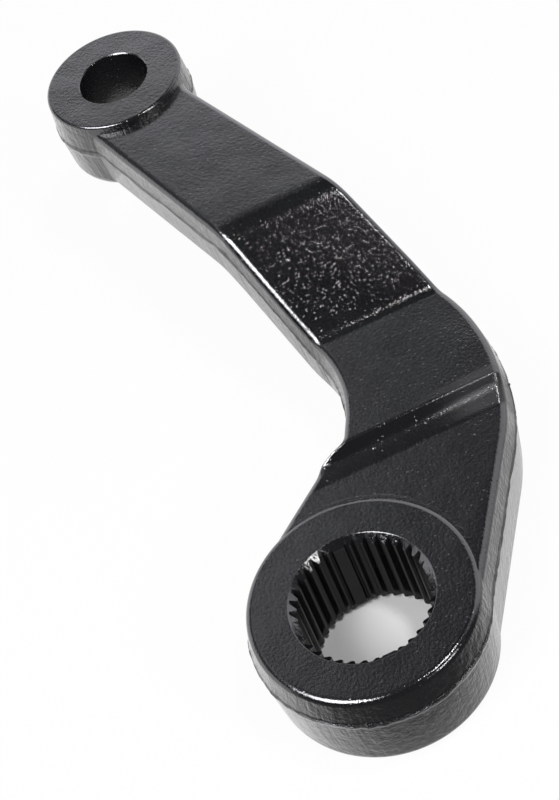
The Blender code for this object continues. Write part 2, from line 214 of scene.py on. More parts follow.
def far_side(centre_x, start, end):
    """Return the points between start and end, anticlockwise round the far side of an eye."""
    radius = math.hypot(start[0] - centre_x, start[1])
    first = math.atan2(start[1], start[0] - centre_x)
    turn = (math.atan2(end[1], end[0] - centre_x) - first) % (2 * math.pi)
    angles = [first + turn * step / FAR_SIDE_STEPS for step in range(1, FAR_SIDE_STEPS)]
    return [Vector((centre_x + radius * math.cos(a), radius * math.sin(a))) for a in angles]


def arm_outline():
    """Return the arm's outline at the parting line, anticlockwise, just inside both eyes' walls."""
    blend_radius = BIG_EYE_RADIUS - BLEND_SINK
    right_start = tangent_point(RIGHT_CORNER, blend_radius, -1)
    left_start = tangent_point(LEFT_NEAR_CORNER, blend_radius, 1)
    points = [Vector(right_start)]
    points += rounded_corner(right_start, RIGHT_CORNER, RIGHT_END, RIGHT_CORNER_ROUND, CORNER_STEPS)
    right_blend = blend_into_small_eye(RIGHT_CORNER, RIGHT_END, -1)
    left_blend = blend_into_small_eye(LEFT_FAR_CORNER, LEFT_END, 1)[::-1]
    points += right_blend + far_side(EYE_SPACING, right_blend[-1], left_blend[0]) + left_blend
    points += rounded_corner(LEFT_END, LEFT_FAR_CORNER, LEFT_HOLLOW_CORNER, LEFT_FAR_ROUND,
                             CORNER_STEPS)
    points += rounded_corner(LEFT_FAR_CORNER, LEFT_HOLLOW_CORNER, LEFT_NEAR_CORNER,
                             LEFT_HOLLOW_ROUND, BEND_STEPS)
    points += rounded_corner(LEFT_HOLLOW_CORNER, LEFT_NEAR_CORNER, left_start, LEFT_NEAR_ROUND,
                             BEND_STEPS)
    return points + [Vector(left_start)] + far_side(0, left_start, right_start)


def with_steps_along(points, step):
    """Return a closed outline with more points on its long straight edges."""
    finer = []
    for index, here in enumerate(points):
        after = points[(index + 1) % len(points)]
        pieces = max(1, round((after - here).length / step))
        finer += [here.lerp(after, piece / pieces) for piece in range(pieces)]
    return finer


print(len(arm_outline()), "points in plan")

# %% [markdown]
# In side view the top face rises by a low step, runs level, climbs a slope and runs level again
# to the small eye. The underside follows it at the arm's thickness.

# %% Arm in side view
STEP_START_LEFT, STEP_START_RIGHT, STEP_END, STEP_RISE = 35.2, 31.0, 37.1, 3.4
SLOPE_START, SLOPE_END = 67.2, 94.7
UNDERSIDE_STEP_START, UNDERSIDE_STEP_END = 33.0, 47.0
STEP_FOOT_ROUND, STEP_TOP_ROUND, SLOPE_FOOT_ROUND, SLOPE_TOP_ROUND = 2.5, 1.0, 5.0, 12.0
UNDERSIDE_ROUND = 8.0
LOW_Z = -ARM_BELOW_BIG_EYE
MIDDLE_Z = LOW_Z + STEP_RISE
HIGH_Z = SMALL_EYE_RISE - ARM_BELOW_SMALL_EYE


def top_line(step_start):
    """Return the (x, z) line of the arm's top face, whose step has its foot at this x."""
    corners = [((step_start, LOW_Z), STEP_FOOT_ROUND), ((STEP_END, MIDDLE_Z), STEP_TOP_ROUND),
               ((SLOPE_START, MIDDLE_Z), SLOPE_FOOT_ROUND), ((SLOPE_END, HIGH_Z), SLOPE_TOP_ROUND)]
    return rounded_line((-BIG_EYE_RADIUS, LOW_Z), corners, (EYE_SPACING + SMALL_EYE_RADIUS, HIGH_Z))


def underside_line():
    """Return the (x, z) line of the arm's underside, one thickness under the top past its step."""
    foot_z = ARM_BELOW_BIG_EYE - BIG_EYE_HEIGHT
    middle_z, high_z = MIDDLE_Z - ARM_THICKNESS, HIGH_Z - ARM_THICKNESS
    shift = ARM_THICKNESS * math.tan(math.atan2(HIGH_Z - MIDDLE_Z, SLOPE_END - SLOPE_START) / 2)
    corners = [(UNDERSIDE_STEP_START, foot_z), (UNDERSIDE_STEP_END, middle_z),
               (SLOPE_START + shift, middle_z), (SLOPE_END + shift, high_z)]
    end = (EYE_SPACING + SMALL_EYE_RADIUS, high_z)
    return rounded_line((-BIG_EYE_RADIUS, foot_z), [(c, UNDERSIDE_ROUND) for c in corners], end)


print(len(top_line(STEP_START_LEFT)), "points along the top face")

# %% [markdown]
# A flat slab is stacked first and bent afterwards, because a slab's walls are easy to inset.
# The step across the arm runs askew, so its foot is drawn at both edges and blended between.

# %% Slab of the arm: insets and heights
STEP_ALONG = 1.5
SAME_POINT = 1e-4


def inset_outline(outline, insets):
    """Return an anticlockwise outline moved inwards at each point by that point's inset."""
    moved = []
    for index, (here, inset) in enumerate(zip(outline, insets)):
        edge_in = (here - outline[index - 1]).normalized()
        edge_out = (outline[(index + 1) % len(outline)] - here).normalized()
        inward = Vector((-edge_in.y - edge_out.y, edge_in.x + edge_out.x)).normalized()
        moved.append(here + inward * (inset / inward.dot(Vector((-edge_in.y, edge_in.x)))))
    return moved


def height_at(line, x):
    """Return a side line's height at x."""
    for before, after in zip(line, line[1:]):
        if x <= after.x:
            return before.y + (after.y - before.y) * (x - before.x) / (after.x - before.x)
    return line[-1].y


def mesh_object(name, mesh):
    """Turn a bmesh in millimetres into an object in metres."""
    bmesh.ops.scale(mesh, vec=(MM, MM, MM), verts=mesh.verts[:])
    data = bpy.data.meshes.new(name)
    mesh.to_mesh(data)
    mesh.free()
    thing = bpy.data.objects.new(name, data)
    bpy.context.scene.collection.objects.link(thing)
    return thing


def share_between(value, start, end):
    """Return how far a value has come from start to end, between 0 and 1."""
    return min(1.0, max(0.0, (value - start) / (end - start)))


print("the small eye's top face lies", height_at(top_line(STEP_START_LEFT), EYE_SPACING), "mm up")

# %% Slab of the arm: walls and bend


def wall_levels(x, top, underside):
    """Return (inset, height) down the arm's wall at x, in the flat slab."""
    near = upper_wall(PARTING_DEPTH, BIG_EYE_DRAFT, TOP_ROUND)
    far = upper_wall(PARTING_DEPTH, UPPER_DRAFT, TOP_ROUND)
    share = share_between(x, DRAFT_CHANGE_START, DRAFT_CHANGE_END)
    levels = [(a + (c - a) * share, -(b + (d - b) * share)) for (a, b), (c, d) in zip(near, far)]
    thickness = height_at(top, x) - height_at(underside, x)
    lower = lower_wall(thickness - PARTING_DEPTH - FLASH_HEIGHT / 2, BOTTOM_ROUND)
    levels.append((lower[0][0], -PARTING_DEPTH - FLASH_HEIGHT / 4))
    levels.append((lower[1][0], -PARTING_DEPTH - FLASH_HEIGHT / 2))
    return levels + [(inset, height - ARM_THICKNESS) for inset, height in lower[2:]]


def bend_slab(mesh, left_top, right_top, underside):
    """Bend the slab: its top and parting line follow the top line, its foot the underside."""
    wall_start = -PARTING_DEPTH - FLASH_HEIGHT / 2
    wall_end = BOTTOM_ROUND * (1 - math.sin(LOWER_DRAFT)) - ARM_THICKNESS
    for vertex in mesh.verts:
        x, y, height = vertex.co
        side = share_between(y, RIGHT_CORNER[1], LEFT_HOLLOW_CORNER[1])
        top_z = height_at(right_top, x) * (1 - side) + height_at(left_top, x) * side
        foot_z = height_at(underside, x) + ARM_THICKNESS
        share = share_between(height, wall_start, wall_end)
        vertex.co.z = height + top_z * (1 - share) + foot_z * share


print("walls in", len(wall_levels(0, top_line(STEP_START_LEFT), underside_line())), "levels")

# %% Slab of the arm: stacked, cut and bent


def make_slab():
    """Stack insets of the outline, cut them at each point of the side view and bend them."""
    outline = with_steps_along(arm_outline(), STEP_ALONG)
    left_top, right_top = top_line(STEP_START_LEFT), top_line(STEP_START_RIGHT)
    underside = underside_line()
    mesh = bmesh.new()
    rings = []
    for levels in zip(*[wall_levels(point.x, left_top, underside) for point in outline]):
        points = inset_outline(outline, [inset for inset, height in levels])
        rings.append([mesh.verts.new((point.x, point.y, height))
                      for point, (inset, height) in zip(points, levels)])
    mesh.faces.new(rings[0])
    for above, below in zip(rings, rings[1:]):
        for index, corner in enumerate(above):
            mesh.faces.new((below[index - 1], below[index], corner, above[index - 1]))
    mesh.faces.new(rings[-1][::-1])
    for x in sorted({point.x for line in (left_top, right_top, underside) for point in line[1:-1]}):
        everything = mesh.verts[:] + mesh.edges[:] + mesh.faces[:]
        bmesh.ops.bisect_plane(mesh, geom=everything, dist=SAME_POINT, plane_co=(x, 0, 0),
                               plane_no=(1, 0, 0))
    bend_slab(mesh, left_top, right_top, underside)
    return mesh_object("forged_arm", mesh)


forging = make_slab()
print("slab:", len(forging.data.polygons), "faces")

# %% [markdown]
# Both eyes are turned shapes, and so are the tools that bore them. Only the broach that cuts the
# splines is a straight one. It cuts narrower, shallower grooves beside the four wide teeth.
# Displacing a plain bore would blur the teeth, so the tools are cut through the solid.

# %% Turned eyes


def turned(name, profile, centre_x):
    """Turn a profile of (radius, z), listed from the top down, about a vertical axis."""
    mesh = bmesh.new()
    points = [mesh.verts.new((radius, 0, z)) for radius, z in profile]
    edges = [mesh.edges.new(pair) for pair in zip(points, points[1:])]
    bmesh.ops.spin(mesh, geom=points + edges, cent=(0, 0, 0), axis=(0, 0, 1),
                   angle=2 * math.pi, steps=TURNED_STEPS, use_merge=True)
    bmesh.ops.remove_doubles(mesh, verts=mesh.verts[:], dist=SAME_POINT)
    bmesh.ops.recalc_face_normals(mesh, faces=mesh.faces[:])
    bmesh.ops.translate(mesh, vec=(centre_x, 0, 0), verts=mesh.verts[:])
    return mesh_object(name, mesh)


def eye_profile(radius, top_z, height, arm_below, draft, top_round):
    """Return the profile of an eye before it is bored."""
    parting = PARTING_DEPTH + arm_below
    profile = [(0, top_z)]
    upper = upper_wall(parting, draft, top_round)
    profile += [(radius - inset, top_z - depth) for inset, depth in upper]
    lower = lower_wall(height - parting - FLASH_HEIGHT / 2, BOTTOM_ROUND)
    profile += [(radius - inset, top_z - height + rise) for inset, rise in lower]
    return profile + [(0, top_z - height)]


big_eye = turned("big_eye", eye_profile(BIG_EYE_RADIUS, 0, BIG_EYE_HEIGHT, ARM_BELOW_BIG_EYE,
                                        BIG_EYE_DRAFT, TOP_ROUND), 0)
small_eye = turned("small_eye", eye_profile(SMALL_EYE_RADIUS, SMALL_EYE_RISE, SMALL_EYE_HEIGHT,
                                            ARM_BELOW_SMALL_EYE, UPPER_DRAFT, SMALL_EYE_ROUND),
                   EYE_SPACING)
print("eyes:", len(big_eye.data.polygons), "and", len(small_eye.data.polygons), "faces")

# %% Broach
SPLINE_PLACES, WIDE_EVERY = 36, 9
ROOT_RADIUS, TOOTH_DEPTH = 15.875, 1.4
TOOTH_LAND, WIDE_LAND = 0.55, 2.6
FLANK = math.radians(26)
GROOVE_FLOOR = 0.17
SPLINE_TAPER = 0.0125
OVERRUN = 1.0


def spline_outline():
    """Return the splined bore's outline at its top end."""
    tip_radius = ROOT_RADIUS - TOOTH_DEPTH
    pitch = 2 * math.pi / SPLINE_PLACES
    flank_turn = TOOTH_DEPTH * math.tan(FLANK) / ROOT_RADIUS

    def half_land(place):
        return (WIDE_LAND if place % WIDE_EVERY == 0 else TOOTH_LAND) / 2

    points = []
    for place in range(SPLINE_PLACES):
        edge = place * pitch + half_land(place) / tip_radius
        next_edge = (place + 1) * pitch - half_land(place + 1) / tip_radius
        reach = min(1.0, (next_edge - edge) * (1 - GROOVE_FLOOR) / (2 * flank_turn))
        root = tip_radius + TOOTH_DEPTH * reach
        for radius, angle in ((tip_radius, edge), (root, edge + flank_turn * reach),
                              (root, next_edge - flank_turn * reach), (tip_radius, next_edge)):
            points.append((radius * math.cos(angle), radius * math.sin(angle)))
    return points


def make_broach():
    """Make the tool of the splined bore, a little wider at the underside."""
    bottom_z = -BIG_EYE_HEIGHT - OVERRUN
    growth = 1 + SPLINE_TAPER * (OVERRUN - bottom_z) / ROOT_RADIUS
    mesh = bmesh.new()
    outline = spline_outline()
    upper = [mesh.verts.new((x, y, OVERRUN)) for x, y in outline]
    lower = [mesh.verts.new((x * growth, y * growth, bottom_z)) for x, y in outline]
    mesh.faces.new(upper)
    mesh.faces.new(lower[::-1])
    for index, corner in enumerate(upper):
        mesh.faces.new((lower[index - 1], lower[index], corner, upper[index - 1]))
    return mesh_object("broach", mesh)


broach = make_broach()
print("broach:", len(broach.data.polygons), "faces")

# %% Mouth tool and reamer
MOUTH_CHAMFER = 0.3
# The rounding starts 3% of its radius above the face, so that the cut leaves no sliver there.
MOUTH_EDGE_ROUND, MOUTH_EDGE_LEVEL, MOUTH_EDGE_STEPS = 0.35, 0.97, 5
STUD_RADIUS, STUD_TAPER, STUD_CHAMFER = 9.1, 1 / 16, 0.25


def make_mouth_tool():
    """Make the tool that chamfers both mouths of the splined bore."""
    inner = ROOT_RADIUS - TOOTH_DEPTH - OVERRUN
    mouth = ROOT_RADIUS + MOUTH_CHAMFER
    low_mouth = mouth + SPLINE_TAPER * BIG_EYE_HEIGHT
    middle = mouth + MOUTH_EDGE_ROUND * math.tan(math.pi / 8)
    angles = [math.radians(45 * step / MOUTH_EDGE_STEPS) for step in range(MOUTH_EDGE_STEPS + 1)]
    edge = [(middle - MOUTH_EDGE_ROUND * math.sin(angle),
             MOUTH_EDGE_ROUND * (math.cos(angle) - MOUTH_EDGE_LEVEL)) for angle in angles]
    profile = [(0, OVERRUN), (middle, OVERRUN)] + edge
    profile += [(inner, inner - mouth), (inner, low_mouth - inner - BIG_EYE_HEIGHT),
                (low_mouth + OVERRUN, -BIG_EYE_HEIGHT - OVERRUN), (0, -BIG_EYE_HEIGHT - OVERRUN)]
    return turned("mouth_tool", profile, 0)


def make_reamer():
    """Make the tool of the tapered bore, with its chamfer at the wide upper mouth."""
    end_z = SMALL_EYE_RISE - max(SMALL_EYE_HEIGHT, ARM_BELOW_SMALL_EYE + ARM_THICKNESS) - OVERRUN
    mouth = STUD_RADIUS + STUD_CHAMFER + OVERRUN
    profile = [(0, SMALL_EYE_RISE + OVERRUN), (mouth, SMALL_EYE_RISE + OVERRUN),
               (STUD_RADIUS, SMALL_EYE_RISE - STUD_CHAMFER),
               (STUD_RADIUS - STUD_TAPER * (SMALL_EYE_RISE - end_z), end_z), (0, end_z)]
    return turned("reamer", profile, EYE_SPACING)


mouth_tool, reamer = make_mouth_tool(), make_reamer()
print("mouth tool and reamer:", len(mouth_tool.data.polygons) + len(reamer.data.polygons), "faces")

# %% [markdown]
# The eyes are joined to the arm and the bores cut one after the other. The exact solver keeps
# the teeth sharp, and a weld after each cut removes the slivers it leaves.

# %% Join and bore
WELD_DISTANCE = 0.002


def combine(thing, steps):
    """Run the Booleans in order and leave their result as the object's own mesh."""
    for tool, operation in steps:
        boolean = thing.modifiers.new(tool.name, "BOOLEAN")
        boolean.operation = operation
        boolean.object = tool
        weld = thing.modifiers.new("weld", "WELD")
        weld.merge_threshold = WELD_DISTANCE * MM
    graph = bpy.context.evaluated_depsgraph_get()
    data = bpy.data.meshes.new_from_object(thing.evaluated_get(graph))
    thing.modifiers.clear()
    thing.data = data
    for tool, operation in steps:
        bpy.data.objects.remove(tool, do_unlink=True)


combine(forging, [(big_eye, "UNION"), (small_eye, "UNION"), (broach, "DIFFERENCE"),
                  (mouth_tool, "DIFFERENCE"), (reamer, "DIFFERENCE")])
print("joined and bored:", len(forging.data.polygons), "faces")

# %% [markdown]
# The press trims the flash off along the parting line and leaves it ragged. The points on that
# line are pushed in and up or down by noise. A texture could darken it, but its edge would stay
# straight.

# %% Ragged flash
RAGGED_DEPTH, RAGGED_LENGTH, RAGGED_SHARE = 0.35, 1.6, 0.4
WAVE_HEIGHT, WAVE_LENGTH = 0.9, 7.0
CLEAR_OF_BORES = 5.0


def parting_height(x):
    """Return the height of the parting line at x."""
    step = STEP_RISE * share_between(x, STEP_START_LEFT, STEP_END)
    slope = (HIGH_Z - MIDDLE_Z) * share_between(x, SLOPE_START, SLOPE_END)
    return LOW_Z - PARTING_DEPTH + step + slope


def make_flash_ragged(thing):
    """Push the points of the flash inwards, and up or down, by noise."""
    moved = 0
    for vertex in thing.data.vertices:
        x, y, z = vertex.co / MM
        nearness = 1 - abs(z - parting_height(x)) / FLASH_HEIGHT
        in_big_bore = math.hypot(x, y) < ROOT_RADIUS + CLEAR_OF_BORES
        in_small_bore = math.hypot(x - EYE_SPACING, y) < STUD_RADIUS + CLEAR_OF_BORES
        if nearness > 0 and not in_big_bore and not in_small_bore:
            rough = RAGGED_SHARE + noise.noise(vertex.co / (MM * RAGGED_LENGTH))
            wave = noise.noise(vertex.co / (MM * WAVE_LENGTH))
            outward = Vector((vertex.normal.x, vertex.normal.y, 0)).normalized()
            vertex.co -= outward * (RAGGED_DEPTH * MM * nearness * min(1.0, max(0.0, rough)))
            vertex.co.z += WAVE_HEIGHT * MM * nearness * wave
            moved += 1
    return moved


print("points moved along the flash:", make_flash_ragged(forging))

# %% [markdown]
# The forging's faces are flat or round without a facet, and its bored edges are sharp. Smooth
# shading with normals weighted by area gives both, without a bevel that would need more faces.

# %% Shading and place in the frame
SHARP_EDGE = math.radians(24)

forging.data.shade_smooth()
forging.data.set_sharp_from_angle(angle=SHARP_EDGE)
weighted = forging.modifiers.new("face_weighted_normals", "WEIGHTED_NORMAL")
weighted.keep_sharp = True
weighted.weight = 100
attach(forging, "root")
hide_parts("pitman_arm")
print("the forging stands for", forging.name)

# %% [markdown]
# Colours are written as sRGB hex, as a paint chart gives them, and shaders take linear values.
# Nodes could each be set up line by line, and one helper says the same in one statement.

# %% Colour and node helpers


def linear(hex_colour):
    """Turn an sRGB hex colour into the linear values that a shader takes."""
    values = [int(hex_colour[i:i + 2], 16) / 255 for i in (1, 3, 5)]
    return [v / 12.92 if v <= 0.04045 else ((v + 0.055) / 1.055) ** 2.4 for v in values] + [1.0]


def add_node(tree, kind, links=(), **settings):
    """Add a node with its settings and its links, each (input name or index, socket or value)."""
    made = tree.nodes.new(kind)
    for name, value in settings.items():
        setattr(made, name, value)
    for key, value in links:
        socket = made.inputs[key]
        if isinstance(value, bpy.types.NodeSocket):
            tree.links.new(value, socket)
        else:
            socket.default_value = value
    return made


print("black of the paint:", [round(v, 4) for v in linear("#18181a")])

# %% [markdown]
# The finish is a black baked enamel, sprayed over the blasted forging. It is a dielectric, so
# all its black is in the base colour and all its shine comes from the IOR. The film flows out
# glossier than the pigment below it, which is what the coat layer stands for.

# %% Enamel: colour and gloss
enamel = bpy.data.materials.new("black_baked_enamel_on_forged_steel")
enamel.use_nodes = True
paint = enamel.node_tree
shader = paint.nodes["Principled BSDF"]
shader.inputs["Base Color"].default_value = linear("#18181a")
shader.inputs["Metallic"].default_value = 0.0
# Alkyd and epoxy enamels have an IOR of 1.48 to 1.58.
shader.inputs["IOR"].default_value = 1.5
# The pigment layer is semi-gloss, 0.15 to 0.25. The film over it is glossy, under 0.1.
shader.inputs["Roughness"].default_value = 0.16
shader.inputs["Coat Weight"].default_value = 1.0
shader.inputs["Coat IOR"].default_value = 1.55
shader.inputs["Coat Roughness"].default_value = 0.07
forging.data.materials.clear()
forging.data.materials.append(enamel)
print("paint:", enamel.name)

# %% [markdown]
# The surface isn't the same everywhere: the flash is torn, the walls carry scale marks, and the
# slope is the roughest. Masks from the place in the frame say which is which. They could be
# painted by hand, but would then be tied to the mesh.

# %% Enamel: place in millimetres
SPLINES_CLEAR, STUD_CLEAR = 17.0, 10.0
place = add_node(paint, "ShaderNodeTexCoord").outputs["Object"]
mm = add_node(paint, "ShaderNodeVectorMath", [(0, place), (1, (1000, 1000, 1000))],
              operation="MULTIPLY").outputs[0]
x_mm, y_mm, z_mm = add_node(paint, "ShaderNodeSeparateXYZ", [(0, mm)]).outputs
in_plan = add_node(paint, "ShaderNodeVectorMath", [(0, mm), (1, (1, 1, 0))],
                   operation="MULTIPLY").outputs[0]
from_splines = add_node(paint, "ShaderNodeVectorMath", [(0, in_plan)],
                        operation="LENGTH").outputs["Value"]
from_stud = add_node(paint, "ShaderNodeVectorMath", [(0, in_plan), (1, (EYE_SPACING, 0, 0))],
                     operation="DISTANCE").outputs["Value"]
clear_of_splines = add_node(paint, "ShaderNodeMapRange",
                            [(0, from_splines), (1, SPLINES_CLEAR),
                             (2, SPLINES_CLEAR + 1)]).outputs[0]
clear_of_stud = add_node(paint, "ShaderNodeMapRange",
                         [(0, from_stud), (1, STUD_CLEAR), (2, STUD_CLEAR + 1)]).outputs[0]
outside = add_node(paint, "ShaderNodeMath", [(0, clear_of_splines), (1, clear_of_stud)],
                   operation="MINIMUM").outputs[0]
# Little paint reaches the teeth, so below their chamfers they have no glossy film.
below_mouth = add_node(paint, "ShaderNodeMapRange",
                       [(0, z_mm), (1, -2.2), (2, -1.8), (3, 0.0), (4, 1.0)]).outputs[0]
film = add_node(paint, "ShaderNodeMath", [(0, below_mouth), (1, clear_of_splines)],
                operation="MAXIMUM").outputs[0]
paint.links.new(film, shader.inputs["Coat Weight"])
print("masks start", SPLINES_CLEAR, "and", STUD_CLEAR, "mm from the axes of the bores")

# %% Enamel: nearness to the parting line
FLASH_FADE_START, FLASH_FADE_END = 0.4, 1.2
step_z = add_node(paint, "ShaderNodeMapRange",
                  [(0, x_mm), (1, STEP_START_LEFT), (2, STEP_END), (3, LOW_Z - PARTING_DEPTH),
                   (4, MIDDLE_Z - PARTING_DEPTH)]).outputs[0]
slope_z = add_node(paint, "ShaderNodeMapRange",
                   [(0, x_mm), (1, SLOPE_START), (2, SLOPE_END), (3, 0.0),
                    (4, HIGH_Z - MIDDLE_Z)]).outputs[0]
parting_z = add_node(paint, "ShaderNodeMath", [(0, step_z), (1, slope_z)]).outputs[0]
over_parting = add_node(paint, "ShaderNodeMath", [(0, z_mm), (1, parting_z)],
                        operation="SUBTRACT").outputs[0]
from_parting = add_node(paint, "ShaderNodeMath", [(0, over_parting)],
                        operation="ABSOLUTE").outputs[0]
near_parting = add_node(paint, "ShaderNodeMapRange",
                        [(0, from_parting), (1, FLASH_FADE_START), (2, FLASH_FADE_END),
                         (3, 1.0), (4, 0.0)], interpolation_type="SMOOTHSTEP").outputs[0]
flash_mask = add_node(paint, "ShaderNodeMath", [(0, near_parting), (1, outside)],
                      operation="MULTIPLY").outputs[0]
print("the flash fades out between", FLASH_FADE_START, "and", FLASH_FADE_END, "mm")

# %% Enamel: walls
normal = add_node(paint, "ShaderNodeNewGeometry").outputs["Normal"]
upright = add_node(paint, "ShaderNodeSeparateXYZ", [(0, normal)]).outputs[2]
facing_up = add_node(paint, "ShaderNodeMath", [(0, upright)], operation="ABSOLUTE").outputs[0]
steep = add_node(paint, "ShaderNodeMapRange",
                 [(0, facing_up), (1, 0.25), (2, 0.5), (3, 1.0), (4, 0.0)]).outputs[0]
wall_mask = add_node(paint, "ShaderNodeMath", [(0, steep), (1, outside)],
                     operation="MULTIPLY").outputs[0]
print("walls are steeper than", round(math.degrees(math.acos(0.5))), "degrees")

# %% Enamel: slope and step
# The speckle is thickest towards the slope's foot and its right side.
right_and_low = add_node(paint, "ShaderNodeMath", [(0, x_mm), (1, 0.5), (2, y_mm)],
                         operation="MULTIPLY_ADD").outputs[0]
thick = add_node(paint, "ShaderNodeMapRange",
                 [(0, right_and_low), (1, 10.0), (2, 34.0), (3, 1.0), (4, 0.35)]).outputs[0]
past_foot = add_node(paint, "ShaderNodeMapRange", [(0, x_mm), (1, 70.0), (2, 73.0)]).outputs[0]
below_top = add_node(paint, "ShaderNodeMapRange",
                     [(0, x_mm), (1, 88.0), (2, 94.0), (3, 1.0), (4, 0.0)]).outputs[0]
on_slope = add_node(paint, "ShaderNodeMath", [(0, past_foot), (1, below_top)],
                    operation="MULTIPLY").outputs[0]
rough_slope = add_node(paint, "ShaderNodeMath", [(0, on_slope), (1, thick)],
                       operation="MULTIPLY").outputs[0]
# The step's right end is a little less rough than the slope.
past_step_foot = add_node(paint, "ShaderNodeMapRange",
                          [(0, x_mm), (1, 30.0), (2, 32.0)]).outputs[0]
to_the_right = add_node(paint, "ShaderNodeMapRange",
                        [(0, y_mm), (1, -44.0), (2, -26.0), (3, 1.0), (4, 0.0)]).outputs[0]
before_step_top = add_node(paint, "ShaderNodeMapRange",
                           [(0, x_mm), (1, 39.0), (2, 40.5), (3, 0.6), (4, 0.0)]).outputs[0]
on_step = add_node(paint, "ShaderNodeMath", [(0, past_step_foot), (1, before_step_top)],
                   operation="MULTIPLY").outputs[0]
rough_step = add_node(paint, "ShaderNodeMath", [(0, on_step), (1, to_the_right)],
                      operation="MULTIPLY").outputs[0]
slope_mask = add_node(paint, "ShaderNodeMath", [(0, rough_slope), (1, rough_step)]).outputs[0]
# Overspray lands dry there and dulls the film.
dulled = add_node(paint, "ShaderNodeMapRange",
                  [(0, rough_step), (1, 0.05), (2, 0.5), (3, 0.07), (4, 0.42)]).outputs[0]
paint.links.new(dulled, shader.inputs["Coat Roughness"])
print("the slope lies between x", SLOPE_START, "and", SLOPE_END, "mm")

# %% [markdown]
# Shot blasting leaves dimples, and the sprayed film rounds them into orange peel, about 0.8 mm
# from crest to crest. Single grains of scale stand up as pimples, and trapped air leaves pits.
# All of it is height in millimetres. A picture of the texture would repeat, and noise in space
# doesn't.

# %% Enamel: orange peel, pimples and pits
GRAIN_SCALE, GRAIN_RADIUS = 1.7, 0.38
peel = add_node(paint, "ShaderNodeTexNoise", [("Vector", mm), ("Scale", 1.3), ("Detail", 3.0),
                                              ("Roughness", 0.65)]).outputs["Fac"]
# The real grains are 0.1 to 0.2 mm wide. They are drawn 0.45 mm wide, the least that shows.
grain = add_node(paint, "ShaderNodeTexVoronoi", [("Vector", mm), ("Scale", GRAIN_SCALE)]).outputs
chance = add_node(paint, "ShaderNodeSeparateColor", [(0, grain["Color"])]).outputs[0]
# Most of the grains lie too deep to show.
stands_up = add_node(paint, "ShaderNodeMath", [(0, chance), (1, 0.6)],
                     operation="GREATER_THAN").outputs[0]
grain_top = add_node(paint, "ShaderNodeMath", [(0, chance), (1, stands_up)],
                     operation="MULTIPLY").outputs[0]
pimple = add_node(paint, "ShaderNodeMapRange",
                  [(0, grain["Distance"]), (1, 0.0), (2, GRAIN_RADIUS), (3, grain_top),
                   (4, 0.0)]).outputs[0]
# A lone grain of dust lies about every 8 mm.
dust_centre = add_node(paint, "ShaderNodeTexVoronoi",
                       [("Vector", mm), ("Scale", 0.125)]).outputs["Distance"]
dust = add_node(paint, "ShaderNodeMapRange",
                [(0, dust_centre), (1, 0.0), (2, 0.05), (3, 1.0), (4, 0.0)],
                interpolation_type="SMOOTHSTEP").outputs[0]
# Pits are about 1.4 mm apart.
pit_centre = add_node(paint, "ShaderNodeTexVoronoi",
                      [("Vector", mm), ("Scale", 0.7)]).outputs["Distance"]
pit = add_node(paint, "ShaderNodeMapRange",
               [(0, pit_centre), (1, 0.0), (2, 0.2), (3, 1.0), (4, 0.0)],
               interpolation_type="SMOOTHSTEP").outputs[0]
print("grains are drawn", round(2 * GRAIN_RADIUS / GRAIN_SCALE, 2), "mm wide")

# %% Enamel: waves, die marks and torn flash
WAVE_SCALE = 0.08
# The dies wear in shallow waves about 12 mm long.
wave = add_node(paint, "ShaderNodeTexNoise", [("Vector", mm), ("Scale", WAVE_SCALE),
                                              ("Detail", 1.0)]).outputs["Fac"]
# Steel sliding down the die draws marks along the wall, 0.6 mm apart and 8 mm long.
along_draft = add_node(paint, "ShaderNodeMapping",
                       [("Vector", mm), ("Rotation", (0.5, 0.25, 0.0)),
                        ("Scale", (1.6, 1.6, 0.12))]).outputs[0]
die_mark = add_node(paint, "ShaderNodeTexNoise", [("Vector", along_draft), ("Scale", 1.0),
                                                  ("Detail", 2.0)]).outputs["Fac"]
# Scale that flaked off the walls leaves hollows 2 mm wide.
flaked = add_node(paint, "ShaderNodeTexNoise", [("Vector", mm), ("Scale", 0.55), ("Detail", 4.0),
                                                ("Roughness", 0.65)]).outputs["Fac"]
torn = add_node(paint, "ShaderNodeTexNoise", [("Vector", mm), ("Scale", 1.4), ("Detail", 3.0),
                                              ("Roughness", 0.7)]).outputs["Fac"]
print("waves", 1 / WAVE_SCALE, "mm long")

# %% [markdown]
# Where the arm meets the big eye's round top the die left a fine ridge. It is too low for the
# mesh, so it is height too, less than a tenth of a millimetre.

# %% Enamel: ridge round the big eye
RIDGE_START, RIDGE_TOP, RIDGE_FALL, RIDGE_END = 24.2, 25.2, 25.4, 26.6
ridge_rise = add_node(paint, "ShaderNodeMapRange",
                      [(0, from_splines), (1, RIDGE_START), (2, RIDGE_TOP)],
                      interpolation_type="SMOOTHSTEP").outputs[0]
ridge_fall = add_node(paint, "ShaderNodeMapRange",
                      [(0, from_splines), (1, RIDGE_FALL), (2, RIDGE_END), (3, 1.0), (4, 0.0)],
                      interpolation_type="SMOOTHSTEP").outputs[0]
ridge = add_node(paint, "ShaderNodeMath", [(0, ridge_rise), (1, ridge_fall)],
                 operation="MINIMUM").outputs[0]
skewed_x = add_node(paint, "ShaderNodeMath", [(0, y_mm), (1, -0.45), (2, x_mm)],
                    operation="MULTIPLY_ADD").outputs[0]
towards_arm = add_node(paint, "ShaderNodeMapRange", [(0, skewed_x), (1, 4.0), (2, 9.0)]).outputs[0]
ridge_mask = add_node(paint, "ShaderNodeMath", [(0, ridge), (1, towards_arm)],
                      operation="MULTIPLY").outputs[0]
print("the ridge's top is", RIDGE_TOP, "mm from the splines' axis")

